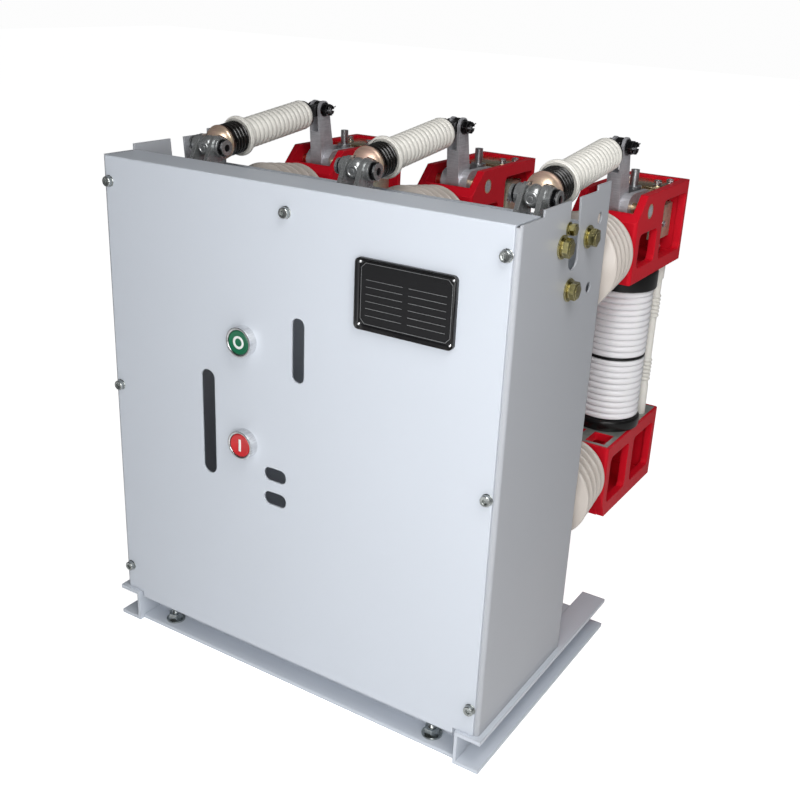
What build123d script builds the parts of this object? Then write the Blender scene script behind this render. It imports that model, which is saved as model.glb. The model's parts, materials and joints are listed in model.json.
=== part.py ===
from build123d import *
import os
from math import cos, radians, sin

# All sizes are millimetres. X runs to the right, Y to the back, Z up.
# The origin is the centre of the four fixing holes, at the base's underside.

# Base frame of rolled channel
base_overhang = 7
base_depth = 406
base_front_y = -184
channel_height = 50
channel_flange = 37
channel_web = 4.5
channel_flange_thickness = 6
base_bolt_spacing_x = 456
base_bolt_spacing_y = 312
base_bolt_radius = 6.5
base_bolt_to_web = 17

# Sheet-steel housing of the operating mechanism
housing_width = 610
housing_height = 650
housing_setback = 5
side_panel_depth = 242
side_middle_rise = 8
side_rear_rise = 15
side_bend_radius = 4.5
side_holes = [(203, 109), (216, 26)]
side_hole_radius = 7
side_front_run = 57
side_middle_run = 203
sheet = 2.5
side_flange = 30
cover_edge_gap = 6.5
cover_bend_radius = 2.2
cover_top_depth = 60
cover_top_lip = 14
cover_skirt = 9
rear_plate_thickness = 8
rear_plate_drop = 38

# Slot open at the top of each side panel: its centre from the front, width, depth and lean
side_slot_from_front = 143
side_slot_width = 27
side_slot_depth = 84
side_slot_lean = 7

# Openings in the front cover, round at their ends: centre x, centre above the base frame, width, height
cover_openings = [(-129, 317, 23, 150), (19, 450, 19, 84), (-17, 270, 36, 19), (-17, 235, 36, 19)]

# Push buttons
button_x = -66
open_button_height = 446
close_button_height = 304
bezel_radius = 20
bezel_proud = 13
bezel_wall = 3
button_clearance = 1
button_proud = 12.4
button_bevel = 1.2
button_stem_radius = 6
button_stem_reach = 45

# Poles: the outer ones' centres from the housing's sides
pole_from_side = 55

# Epoxy post insulators, lying along Y
insulator_length = 128
insulator_root_radius = 42
insulator_tip_radius = 34
insulator_shed_radius = 65
insulator_tip_shed_radius = 55
insulator_sheds = 5
insulator_foot_step = 6
insulator_foot = 14
insulator_neck = 14
shed_root_share = 0.15
shed_slope_share = 0.62
shed_edge_share = 0.78
shed_back_share = 0.9
shed_slope_bevel = 1
shed_back_bevel = 2
upper_insulator_rise = 45
lower_insulator_drop = 42

# Cast brackets
bracket_width = 96
bracket_length = 208
bracket_wall = 11
bracket_floor = 12
bracket_corner_radius = 5
pole_from_bracket_front = 103
lower_bracket_drop = 503
lower_bracket_height = 115
lower_front_chamfer = 14
lower_front_chamfer_height = 35
upper_bracket_height = 118
upper_front_drop = 33
window_radius = 8
upper_windows = [(18, 86, 20, 67), (104, 196, 17, 101)]
lower_windows = [(18, 90, 21, 95), (110, 192, 21, 95)]
pocket_width = 27
pocket_depth = 36
pocket_offset = 22
pocket_from_front = 12
pocket_radius = 6

# Vacuum interrupter
ring_radius = 52
ring_height = 17
ring_wall = 15
ring_edge_radius = 3
interrupter_height = 209
interrupter_radius = 49
interrupter_rib = 3
interrupter_ribs = (8, 10)
rib_start_share = 0.3
rib_end_share = 0.6
interrupter_mid_gap = 5
interrupter_mid_drop = 8
interrupter_bore = 14

# Insulating stay rods behind each interrupter
stay_x = 33
stay_from_pole = 63
stay_radius = 6
stay_collar_radius = 8.5
stay_collar = 22

# Bell cranks, pivoted in the upper brackets
crank_rise = 95
crank_pin_radius = 8
crank_hub_radius = 20
crank_hub_width = 44
crank_width = 20
crank_lever_rise = 83
crank_lever_forward = 15.6
crank_top_radius = 13
crank_heel_forward = 8
crank_heel_rise = 5
crank_heel_radius = 14
crank_slot = 12
crank_slot_depth = 34
crank_arm = 55.5
crank_arm_lift = 5.7
cheek_thickness = 7
cheek_gap = 28
cheek_radius = 13
eye_pin_radius = 6
eye_pin_length = 42

# Moving stems of the interrupters
stem_radius = 11
stem_collar_radius = 11.5
stem_collar_half = 16
stem_top_radius = 6
stem_top_rise = 21
stem_pin_radius = 5
stem_pin_length = 42
stem_depth_in_ring = 60
stem_hole_clearance = 8

# Main shaft and its arm pairs
shaft_arm_length = 130
shaft_arm_lean = 20
shaft_radius = 19
arm_thickness = 6
arm_spacing = 26
arm_hub_radius = 30
arm_eye_radius = 15
arm_pin_radius = 7
arm_boss_radius = 13
arm_boss_length = 7
arm_pin_end_radius = 10.5
arm_pin_end_length = 8
bearing_radius = 34
bearing_depth = 16

# Push rods between the arms and the cranks, measured along their own axis from the arm pin
rod_span = 255.2
rod_tilt = 6.93
eye_radius = 14
eye_width = 18
core_radius = 8
cap_radius = 23.5
cap_middle = 24
cap_end = 27.3
arm_gap = 1.5
spring_radius = 23
spring_wire = 5
spring_turns = 4
spring_flat_start = 0.3
spring_flat_end = 0.7
spring_valley_share = 0.4
spring_end = 60
rod_cup_start = 56
rod_cup_bore = 25
rod_cup_radius = 28.5
rod_cup_bevel = 2
rod_cup_end = 66
rod_radius = 19.5
rod_rib = 2.5
rod_ribs = 12
rod_rib_share = 0.22
rod_rib_end = 211
rod_plate_radius = 20
rod_end = 216
tongue_radius = 9
tongue_collar = 8
tongue_thickness = 9
tongue_eye_radius = 12

# Yellow guide plates in the upper brackets
guide_thickness = 4
rear_guide_from_front = 132
rear_guide_drop = 12
rear_guide_flange = 12

# Clearances
running = 0.1
open_pivot = 0.9
seat = 0.3

front_y = base_front_y + housing_setback
cover_back_y = front_y + sheet
side_rear_y = cover_back_y + side_panel_depth - sheet
housing_top = channel_height + housing_height
half_housing = housing_width / 2
base_width = housing_width + 2 * base_overhang
pole_pitch = half_housing - pole_from_side
lower_bracket_bottom = housing_top - lower_bracket_drop
pole_places = {"left": -pole_pitch, "middle": 0, "right": pole_pitch}
bracket_front_y = side_rear_y + insulator_length
bracket_rear_y = bracket_front_y + bracket_length
pole_y = bracket_front_y + pole_from_bracket_front
stay_y = pole_y + stay_from_pole
lower_bracket_top = lower_bracket_bottom + lower_bracket_height
body_low_z = lower_bracket_top + ring_height
ring_high_z = body_low_z + interrupter_height
upper_bracket_bottom = ring_high_z + ring_height
upper_bracket_top = upper_bracket_bottom + upper_bracket_height
lower_insulator_z = lower_bracket_top - lower_insulator_drop
upper_insulator_z = upper_bracket_bottom + upper_insulator_rise
crank_y = pole_y - crank_arm * (1 + cos(radians(crank_arm_lift))) / 2
crank_z = upper_bracket_bottom + crank_rise
stem_pin_z = crank_z + crank_arm * sin(radians(crank_arm_lift))
cheek_eye_y = crank_y + crank_arm * cos(radians(crank_arm_lift))
eye_y = crank_y - crank_lever_forward
eye_z = crank_z + crank_lever_rise
arm_pin_y = eye_y - rod_span * cos(radians(rod_tilt))
arm_pin_z = eye_z - rod_span * sin(radians(rod_tilt))
shaft_y = arm_pin_y - shaft_arm_length * sin(radians(shaft_arm_lean))
shaft_z = arm_pin_z - shaft_arm_length * cos(radians(shaft_arm_lean))
front_bolt_y = -base_bolt_spacing_y / 2
rear_bolt_y = base_bolt_spacing_y / 2
open_button_z = channel_height + open_button_height
close_button_z = channel_height + close_button_height

LOW = (Align.MIN, Align.MIN)
UP = (Align.CENTER, Align.CENTER, Align.MIN)


def block(x0, x1, y0, y1, z0, z1):
    """A box between two corners."""
    size = Box(x1 - x0, y1 - y0, z1 - z0, align=(Align.MIN, Align.MIN, Align.MIN))
    return Pos(x0, y0, z0) * size


def side_plane(x):
    """The plane at x whose drawing axes are +Y and +Z."""
    return Plane(origin=(x, 0, 0), x_dir=(0, 1, 0), z_dir=(1, 0, 0))


def front_plane(y):
    """The plane at y whose drawing axes are +X and +Z, facing the front."""
    return Plane(origin=(0, y, 0), x_dir=(1, 0, 0), z_dir=(0, -1, 0))


def rod_x(x0, x1, y, z, radius):
    """A round bar along X."""
    place = Plane(origin=(x0, y, z), x_dir=(0, 1, 0), z_dir=(1, 0, 0))
    return place * Cylinder(radius, x1 - x0, align=UP)


def rod_y(y0, y1, x, z, radius):
    """A round bar along Y."""
    place = Plane(origin=(x, y0, z), x_dir=(1, 0, 0), z_dir=(0, 1, 0))
    return place * Cylinder(radius, y1 - y0, align=UP)


def link_outline(start, end, start_radius, end_radius):
    """The outline of a flat link round two eyes."""
    return make_hull((Pos(*start) * Circle(start_radius)).edges() + (Pos(*end) * Circle(end_radius)).edges())


def channel(length):
    """A rolled channel along Z with its web on the left and its toes to the right."""
    outer = Rectangle(channel_flange, channel_height, align=LOW)
    hollow = Rectangle(channel_flange, channel_height - 2 * channel_flange_thickness, align=LOW)
    section = outer - Pos(channel_web, channel_flange_thickness) * hollow
    return extrude(section, length)


def side_channel():
    """The right side member, toes outwards."""
    web_x = base_width / 2 - channel_flange
    place = Plane(origin=(web_x, base_front_y + base_depth, 0), x_dir=(1, 0, 0), z_dir=(0, -1, 0))
    return place * channel(base_depth)


def cross_channel(web_y):
    """A cross member between the side members' webs, toes forwards."""
    span = base_width - 2 * channel_flange - 2 * seat
    place = Plane(origin=(span / 2, web_y, 0), x_dir=(0, -1, 0), z_dir=(-1, 0, 0))
    return place * channel(span)


def cross_member(bolt_y):
    """A cross member with its two fixing holes in the lower flange."""
    member = cross_channel(bolt_y + base_bolt_to_web)
    for side in (-1, 1):
        hole = Cylinder(base_bolt_radius, 2 * channel_flange_thickness)
        member = member - Pos(side * base_bolt_spacing_x / 2, bolt_y, 0) * hole
    return member


def side_panel():
    """The right side panel: a stepped web with a front flange bent inwards behind the cover."""
    x1 = half_housing
    middle_y = front_y + side_front_run
    rear_y = front_y + side_middle_run
    middle_z = housing_top + side_middle_rise
    rear_z = housing_top + side_rear_rise
    profile = Polyline(
        (cover_back_y, channel_height), (side_rear_y, channel_height), (side_rear_y, rear_z), (rear_y, rear_z),
        (rear_y, middle_z), (middle_y, middle_z), (middle_y, housing_top), (cover_back_y, housing_top), close=True,
    )
    web = side_plane(x1 - sheet) * extrude(make_face(profile), sheet)
    flange = block(x1 - side_flange, x1, cover_back_y, cover_back_y + sheet,
                   channel_height, housing_top - sheet - seat)
    panel = web + flange
    edge = panel.edges().filter_by(Axis.Z).filter_by_position(Axis.X, x1 - 0.01, x1 + 0.01)
    panel = fillet(edge.sort_by(Axis.Y)[:1], side_bend_radius)
    for from_front, drop in side_holes:
        hole = rod_x(x1 - 2 * sheet, x1 + sheet, front_y + from_front, housing_top - drop, side_hole_radius)
        panel = panel - hole
    radius = side_slot_width / 2
    slot_low = middle_z - side_slot_depth + radius
    slot_high = rear_z + radius
    centre_y = front_y + side_slot_from_front
    slope = side_slot_lean / (middle_z - slot_low)
    low = (centre_y + side_slot_lean / 2, slot_low)
    high = (centre_y + side_slot_lean / 2 - slope * (slot_high - slot_low), slot_high)
    slot = link_outline(low, high, radius, radius)
    return panel - side_plane(x1 - 2 * sheet) * extrude(slot, 3 * sheet)


def front_cover():
    """The front cover: a flat sheet, folded back over the open top, with its slots and button holes."""
    half = half_housing - cover_edge_gap
    top = housing_top
    sheet_face = block(-half, half, front_y, cover_back_y, channel_height, top)
    skirt_half = base_width / 2 - channel_flange - housing_setback
    skirt = block(-skirt_half, skirt_half, front_y, cover_back_y, channel_height - cover_skirt, channel_height)
    strip = block(-half, half, front_y, front_y + cover_top_depth, top - sheet, top)
    lip_y = front_y + cover_top_depth
    lip = block(-half, half, lip_y - sheet, lip_y, top - cover_top_lip, top)
    cover = sheet_face + skirt + strip + lip
    edge = cover.edges().filter_by(Axis.X).sort_by(Axis.Z)[-4:].sort_by(Axis.Y)[:1]
    cover = fillet(edge, cover_bend_radius)
    for x, z, width, height in cover_openings:
        corner = min(width, height) / 2 - seat
        window = Pos(x, channel_height + z) * RectangleRounded(width, height, corner)
        cover = cover - front_plane(cover_back_y + sheet) * extrude(window, 3 * sheet)
    for z in (open_button_z, close_button_z):
        cover = cover - rod_y(front_y - sheet, cover_back_y + sheet, button_x, z, bezel_radius - bezel_wall)
    return cover


def rear_plate():
    """The plate that carries the six insulators."""
    half = half_housing - sheet - seat
    top = housing_top - rear_plate_drop
    return block(-half, half, side_rear_y - rear_plate_thickness, side_rear_y, channel_height, top)


def shaft_bearings():
    """Flanged bearings for the main shaft, one on each side panel."""
    x1 = half_housing - sheet
    right = rod_x(x1 - bearing_depth, x1, shaft_y, shaft_z, bearing_radius)
    right = right - rod_x(x1 - bearing_depth - 1, x1 + 1, shaft_y, shaft_z, shaft_radius + running)
    return Compound(children=[right, mirror(right, about=Plane.YZ)])


def button_bezels():
    """Bright rings round the two buttons."""
    rings = []
    for z in (open_button_z, close_button_z):
        ring = rod_y(front_y - bezel_proud, front_y, button_x, z, bezel_radius)
        ring = ring - rod_y(front_y - bezel_proud - 1, front_y + 1, button_x, z, bezel_radius - bezel_wall)
        rings.append(ring)
    return Compound(children=rings)


def button(z):
    """A round push button on a stem behind the cover."""
    radius = bezel_radius - bezel_wall - button_clearance
    head = rod_y(front_y - button_proud, front_y + sheet, button_x, z, radius)
    head = chamfer(head.edges().sort_by(Axis.Y)[:1], button_bevel)
    return head + rod_y(front_y, front_y + button_stem_reach, button_x, z, button_stem_radius)


def insulator(x, z):
    """A tapered post insulator with sheds, turned about its own axis."""
    length = insulator_length
    body = length - insulator_foot - insulator_neck
    pitch = body / insulator_sheds
    foot_radius = insulator_root_radius + insulator_foot_step
    points = [(0, 0), (foot_radius, 0), (foot_radius, insulator_foot)]
    for n in range(insulator_sheds):
        low = insulator_foot + n * pitch
        share = n / (insulator_sheds - 1)
        core = insulator_root_radius + share * (insulator_tip_radius - insulator_root_radius)
        tip = insulator_shed_radius + share * (insulator_tip_shed_radius - insulator_shed_radius)
        points += [(core, low + shed_root_share * pitch), (tip - shed_slope_bevel, low + shed_slope_share * pitch)]
        points += [(tip, low + shed_edge_share * pitch), (tip - shed_back_bevel, low + shed_back_share * pitch)]
        points += [(core, low + pitch)]
    points += [(insulator_tip_radius, length), (0, length)]
    profile = make_face(Polyline(*[(r, s) for r, s in points], close=True))
    turned = revolve(profile, Axis.Y)
    return Pos(x, side_rear_y, z) * turned


def windows(outlines, x, bottom):
    """Cutters through both side walls, for windows measured from the bracket's lower front corner."""
    shapes = []
    for y0, y1, z0, z1 in outlines:
        centre = (bracket_front_y + (y0 + y1) / 2, bottom + (z0 + z1) / 2)
        face = Pos(*centre) * RectangleRounded(y1 - y0, z1 - z0, window_radius)
        shapes.append(side_plane(x - bracket_width) * extrude(face, 2 * bracket_width))
    return shapes


def upper_bracket(x):
    """The upper cast bracket: a box open at the top, with windows in its side walls."""
    half = bracket_width / 2
    outline = Polyline(
        (bracket_front_y, upper_bracket_bottom), (bracket_rear_y, upper_bracket_bottom),
        (bracket_rear_y, upper_bracket_top), (bracket_front_y + upper_front_drop, upper_bracket_top),
        (bracket_front_y, upper_bracket_top - upper_front_drop), close=True,
    )
    body = side_plane(x - half) * extrude(make_face(outline), bracket_width)
    body = fillet(body.edges().filter_by(Axis.Z), bracket_corner_radius)
    inner = half - bracket_wall
    body = body - block(x - inner, x + inner, bracket_front_y + bracket_wall, bracket_rear_y - bracket_wall,
                        upper_bracket_bottom + bracket_floor, upper_bracket_top + bracket_floor)
    for cutter in windows(upper_windows, x, upper_bracket_bottom):
        body = body - cutter
    body = body - rod_x(x - bracket_width, x + bracket_width, crank_y, crank_z, crank_pin_radius + running)
    return body - Pos(x, pole_y, upper_bracket_bottom) * Cylinder(stem_radius + stem_hole_clearance, 3 * bracket_floor)


def lower_bracket(x):
    """The lower cast bracket: a box open below, with a machined top and two pockets in it."""
    half = bracket_width / 2
    cut = lower_front_chamfer
    outline = Polyline(
        (bracket_front_y + cut, lower_bracket_bottom), (bracket_rear_y, lower_bracket_bottom),
        (bracket_rear_y, lower_bracket_top), (bracket_front_y, lower_bracket_top),
        (bracket_front_y, lower_bracket_bottom + lower_front_chamfer_height), close=True,
    )
    body = side_plane(x - half) * extrude(make_face(outline), bracket_width)
    body = fillet(body.edges().filter_by(Axis.Z), bracket_corner_radius)
    inner = half - bracket_wall
    body = body - block(x - inner, x + inner, bracket_front_y + bracket_wall, bracket_rear_y - bracket_wall,
                        lower_bracket_bottom - bracket_floor, lower_bracket_top - bracket_floor)
    for cutter in windows(lower_windows, x, lower_bracket_bottom):
        body = body - cutter
    for side in (-1, 1):
        pocket = Pos(x + side * pocket_offset, bracket_front_y + pocket_from_front + pocket_depth / 2)
        pocket = pocket * RectangleRounded(pocket_width, pocket_depth, pocket_radius)
        body = body - Pos(0, 0, lower_bracket_top - bracket_floor - 1) * extrude(pocket, bracket_floor + 2)
    return body


def interrupter(x):
    """The ceramic body: a ribbed tube with a thin joint a little below half height."""
    height = interrupter_height
    joint = (height - interrupter_mid_gap) / 2 - interrupter_mid_drop
    outer = interrupter_radius
    inner = interrupter_radius - interrupter_rib
    points = [(interrupter_bore, 0), (inner, 0)]
    spans = ((0, joint), (joint + interrupter_mid_gap, height))
    for ribs, (start, end) in zip(interrupter_ribs, spans):
        pitch = (end - start) / ribs
        if start > 0:
            points += [(inner, start)]
        for n in range(ribs):
            low = start + n * pitch
            points += [(outer, low + rib_start_share * pitch), (outer, low + rib_end_share * pitch)]
            points += [(inner, low + pitch)]
    points += [(interrupter_bore, height)]
    profile = make_face(Plane.XZ * Polyline(*points, close=True))
    return Pos(x, pole_y, body_low_z) * revolve(profile, Axis.Z)


def interrupter_rings(x):
    """The black end rings that seat on the brackets."""
    rings = []
    for z, bore in ((lower_bracket_top, ring_radius - ring_wall), (ring_high_z, stem_radius + stem_hole_clearance)):
        ring = Cylinder(ring_radius, ring_height, align=UP)
        ring = fillet(ring.edges(), ring_edge_radius)
        rings.append(Pos(x, pole_y, z) * (ring - Cylinder(bore, 4 * ring_height)))
    return rings


def stay_rods(x):
    """Two insulating rods behind an interrupter, thicker at both ends."""
    rods = []
    height = upper_bracket_bottom - lower_bracket_top
    for side in (-1, 1):
        shaft = Cylinder(stay_radius, height, align=UP)
        for z in (0, height - stay_collar):
            shaft = shaft + Pos(0, 0, z) * Cylinder(stay_collar_radius, stay_collar, align=UP)
        rods.append(Pos(x + side * stay_x, stay_y, lower_bracket_top) * shaft)
    return rods


def guide_plate(x):
    """The yellow plate across the upper bracket behind the stem, with its front edge bent down."""
    inner = bracket_width / 2 - bracket_wall
    y0 = bracket_front_y + rear_guide_from_front
    y1 = bracket_rear_y - bracket_wall
    z1 = upper_bracket_top - rear_guide_drop
    z0 = z1 - guide_thickness
    flange = block(x - inner, x + inner, y0, y0 + guide_thickness, z0 - rear_guide_flange, z1)
    return block(x - inner, x + inner, y0, y1, z0, z1) + flange


def rod_frame(x):
    """The push rod's own axis: +Z runs from the arm pin to the crank pin."""
    tilt = radians(rod_tilt)
    return Plane(origin=(x, arm_pin_y, arm_pin_z), x_dir=(1, 0, 0), z_dir=(0, cos(tilt), sin(tilt)))


def arms_shadow(x):
    """The room of an arm pair with a gap round it, which the cap stays out of."""
    outline = link_outline((shaft_y, shaft_z), (arm_pin_y, arm_pin_z), arm_hub_radius + arm_gap, arm_eye_radius + arm_gap)
    near = (arm_spacing - arm_thickness) / 2 - arm_gap
    shadow = side_plane(x - cap_radius) * extrude(outline, 2 * cap_radius)
    return shadow - side_plane(x - near) * extrude(outline, 2 * near)


def spring_cap(x):
    """The eye on the arm pin with its domed cap and the core rod through the spring."""
    eye = Plane.YZ * Cylinder(eye_radius, eye_width)
    low = cap_middle - cap_radius
    half_way = cap_radius * cos(radians(45))
    dome = ThreePointArc((0, low), (half_way, cap_middle - half_way), (cap_radius, cap_middle))
    rest = Polyline((cap_radius, cap_middle), (cap_radius, cap_end), (core_radius, cap_end),
                    (core_radius, spring_end - seat), (0, spring_end - seat), (0, low))
    shape = revolve(Plane.XZ * make_face(dome + rest), Axis.Z)
    shape = rod_frame(x) * shape - arms_shadow(x)
    shape = shape + rod_frame(x) * eye
    return shape - rod_frame(x) * (Plane.YZ * Cylinder(arm_pin_radius + running, 3 * eye_width))


def contact_spring(x):
    """The contact spring, as stacked rings joined by their touching flanks."""
    length = spring_end - cap_end - 2 * seat
    pitch = length / spring_turns
    inner = spring_radius - spring_wire
    valley = spring_radius - spring_valley_share * spring_wire
    points = [(inner, 0), (valley, 0)]
    for n in range(spring_turns):
        low = n * pitch
        points += [(spring_radius, low + spring_flat_start * pitch), (spring_radius, low + spring_flat_end * pitch)]
        points += [(valley, low + pitch)]
    points += [(inner, length)]
    profile = make_face(Plane.XZ * Polyline(*points, close=True))
    return rod_frame(x) * (Pos(0, 0, cap_end + seat) * revolve(profile, Axis.Z))


def push_rod(x):
    """The insulating rod: a cup round the spring's end, ribs, and a steel tongue at the back."""
    pitch = (rod_rib_end - rod_cup_end) / rod_ribs
    points = [(0, spring_end), (rod_cup_bore, spring_end), (rod_cup_bore, rod_cup_start)]
    points += [(rod_cup_radius - rod_cup_bevel, rod_cup_start), (rod_cup_radius, rod_cup_start + rod_cup_bevel)]
    points += [(rod_cup_radius, rod_cup_end - 2 * rod_cup_bevel), (rod_radius, rod_cup_end)]
    for n in range(rod_ribs):
        low = rod_cup_end + n * pitch
        points += [(rod_radius + rod_rib, low + rod_rib_share * pitch)]
        points += [(rod_radius + rod_rib, low + (1 - rod_rib_share) * pitch)]
        points += [(rod_radius, low + pitch)]
    points += [(rod_plate_radius, rod_rib_end), (rod_plate_radius, rod_end), (0, rod_end)]
    body = revolve(make_face(Plane.XZ * Polyline(*points, close=True)), Axis.Z)
    tongue = Pos(0, 0, rod_end - tongue_collar) * Cylinder(tongue_radius, 2 * tongue_collar, align=UP)
    flat = Pos(0, 0, rod_end) * Box(tongue_thickness, 2 * tongue_radius, rod_span - rod_end, align=UP)
    eye = Pos(0, 0, rod_span) * (Plane.YZ * Cylinder(tongue_eye_radius, tongue_thickness))
    shape = body + tongue + flat + eye
    shape = shape - Pos(0, 0, rod_span) * (Plane.YZ * Cylinder(eye_pin_radius + open_pivot, 4 * tongue_thickness))
    return rod_frame(x) * shape


def bell_crank(x):
    """The bell crank: forked lever, hub with its pin, and two cheeks to the stem's pin."""
    half = crank_width / 2
    outline = make_hull(
        (Pos(eye_y, eye_z) * Circle(crank_top_radius)).edges()
        + (Pos(crank_y - crank_heel_forward, crank_z + crank_heel_rise) * Circle(crank_heel_radius)).edges()
        + (Pos(crank_y, crank_z) * Circle(crank_heel_radius)).edges()
    )
    lever = side_plane(x - half) * extrude(outline, crank_width)
    hub = rod_x(x - crank_hub_width / 2, x + crank_hub_width / 2, crank_y, crank_z, crank_hub_radius)
    crank = lever + hub
    reach = 3 * crank_top_radius
    slot = block(x - crank_slot / 2, x + crank_slot / 2, eye_y - reach, eye_y + reach,
                 eye_z - crank_slot_depth, eye_z + reach)
    crank = crank - slot
    cheek = link_outline((crank_y, crank_z), (cheek_eye_y, stem_pin_z), crank_hub_radius, cheek_radius)
    for side in (-1, 1):
        centre = x + side * (cheek_gap + cheek_thickness) / 2
        crank = crank + side_plane(centre - cheek_thickness / 2) * extrude(cheek, cheek_thickness)
    eye = rod_x(x - crank_hub_width, x + crank_hub_width, cheek_eye_y, stem_pin_z, stem_pin_radius + open_pivot)
    pin = rod_x(x - bracket_width / 2, x + bracket_width / 2, crank_y, crank_z, crank_pin_radius)
    crank = crank - eye + pin
    return crank + rod_x(x - eye_pin_length / 2, x + eye_pin_length / 2, eye_y, eye_z, eye_pin_radius)


def moving_stem(x):
    """The interrupter's moving stem with its cross pin and threaded top."""
    low = ring_high_z - stem_depth_in_ring
    collar_z = stem_pin_z - stem_collar_half
    stem = Pos(x, pole_y, low) * Cylinder(stem_radius, collar_z - low, align=UP)
    collar = Pos(x, pole_y, collar_z) * Cylinder(stem_collar_radius, 2 * stem_collar_half, align=UP)
    top_z = upper_bracket_top + stem_top_rise
    top = Pos(x, pole_y, stem_pin_z) * Cylinder(stem_top_radius, top_z - stem_pin_z, align=UP)
    pin = rod_x(x - stem_pin_length / 2, x + stem_pin_length / 2, pole_y, stem_pin_z, stem_pin_radius)
    return stem + collar + top + pin


def main_shaft():
    """The main shaft with three welded pairs of arms and their pins."""
    half = half_housing - sheet - seat
    shaft = rod_x(-half, half, shaft_y, shaft_z, shaft_radius)
    arm = link_outline((shaft_y, shaft_z), (arm_pin_y, arm_pin_z), arm_hub_radius, arm_eye_radius)
    for x in pole_places.values():
        for side in (-1, 1):
            centre = x + side * arm_spacing / 2
            shaft = shaft + side_plane(centre - arm_thickness / 2) * extrude(arm, arm_thickness)
            start = side * (arm_spacing + arm_thickness) / 2
            boss_end = start + side * arm_boss_length
            pin_end = boss_end + side * arm_pin_end_length
            for reach, radius in ((boss_end, arm_boss_radius), (pin_end, arm_pin_end_radius)):
                x0, x1 = sorted((x + start, x + reach))
                shaft = shaft + rod_x(x0, x1, arm_pin_y, arm_pin_z, radius)
        half_gap = arm_spacing / 2
        shaft = shaft + rod_x(x - half_gap, x + half_gap, arm_pin_y, arm_pin_z, arm_pin_radius)
    return shaft


def write(name, shape):
    """Write one named piece."""
    export_step(shape, f"parts/{name}.step")


def build():
    """Make every piece of the circuit breaker."""
    os.makedirs("parts", exist_ok=True)
    right_channel = side_channel()
    write("base_right_channel", right_channel)
    write("base_left_channel", mirror(right_channel, about=Plane.YZ))
    write("base_front_channel", cross_member(front_bolt_y))
    write("base_rear_channel", cross_member(rear_bolt_y))
    right_panel = side_panel()
    write("right_side_panel", right_panel)
    write("left_side_panel", mirror(right_panel, about=Plane.YZ))
    write("front_cover", front_cover())
    write("rear_plate", rear_plate())
    write("shaft_bearings", shaft_bearings())
    write("button_bezels", button_bezels())
    write("open_button", button(open_button_z))
    write("close_button", button(close_button_z))
    write("main_shaft", main_shaft())
    rings, stays, guides = [], [], []
    for name, x in pole_places.items():
        write(f"upper_insulator_{name}", insulator(x, upper_insulator_z))
        write(f"lower_insulator_{name}", insulator(x, lower_insulator_z))
        write(f"upper_bracket_{name}", upper_bracket(x))
        write(f"lower_bracket_{name}", lower_bracket(x))
        write(f"interrupter_{name}", interrupter(x))
        write(f"spring_cap_{name}", spring_cap(x))
        write(f"contact_spring_{name}", contact_spring(x))
        write(f"push_rod_{name}", push_rod(x))
        write(f"bell_crank_{name}", bell_crank(x))
        write(f"moving_stem_{name}", moving_stem(x))
        rings += interrupter_rings(x)
        stays += stay_rods(x)
        guides.append(guide_plate(x))
    write("interrupter_rings", Compound(children=rings))
    write("stay_rods", Compound(children=stays))
    write("guide_plates", Compound(children=guides))


build()
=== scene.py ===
import json
import math

import bpy
from mathutils import Matrix, Vector


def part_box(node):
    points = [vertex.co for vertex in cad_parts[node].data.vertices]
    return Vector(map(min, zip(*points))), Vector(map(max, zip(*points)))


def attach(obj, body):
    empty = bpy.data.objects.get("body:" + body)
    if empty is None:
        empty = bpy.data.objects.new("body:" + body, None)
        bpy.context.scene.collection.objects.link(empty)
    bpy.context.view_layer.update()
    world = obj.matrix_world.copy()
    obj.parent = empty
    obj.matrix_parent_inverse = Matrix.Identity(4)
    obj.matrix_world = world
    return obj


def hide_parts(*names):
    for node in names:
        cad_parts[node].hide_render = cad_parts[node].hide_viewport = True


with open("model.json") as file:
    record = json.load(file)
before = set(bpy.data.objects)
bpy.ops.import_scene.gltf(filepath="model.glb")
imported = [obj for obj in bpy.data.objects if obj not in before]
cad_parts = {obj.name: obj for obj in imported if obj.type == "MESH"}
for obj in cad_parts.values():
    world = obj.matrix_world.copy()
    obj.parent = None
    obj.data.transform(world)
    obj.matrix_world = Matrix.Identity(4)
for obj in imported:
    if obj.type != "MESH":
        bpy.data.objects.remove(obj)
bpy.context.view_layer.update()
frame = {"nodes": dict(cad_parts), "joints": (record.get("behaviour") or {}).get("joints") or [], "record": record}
nodes = frame["nodes"]
bpy.ops.object.select_all(action="DESELECT")

MM = 0.001
POLES = ("left", "middle", "right")

# The camera, in the photograph's place
CAMERA_PLACE = (0.7686, -1.1591, 0.9353)
CAMERA_YAW = math.radians(31.46)
CAMERA_PITCH = math.radians(21.89)
CAMERA_ROLL = math.radians(2.64)
CAMERA_LENS = 47.75
CAMERA_SENSOR = 36

# Studio light: the lamps in watts, the surround near the floor and overhead, and the floor's own glow
FRONT_WATTS = 7.7
RIGHT_WATTS = 3.7
TOP_WATTS = 12
SURROUND_LOW = 0.24
SURROUND_HIGH = 0.08
FLOOR_GLOW = 0.12
FLOOR_GLOW_SEEN = 0.92


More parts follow.
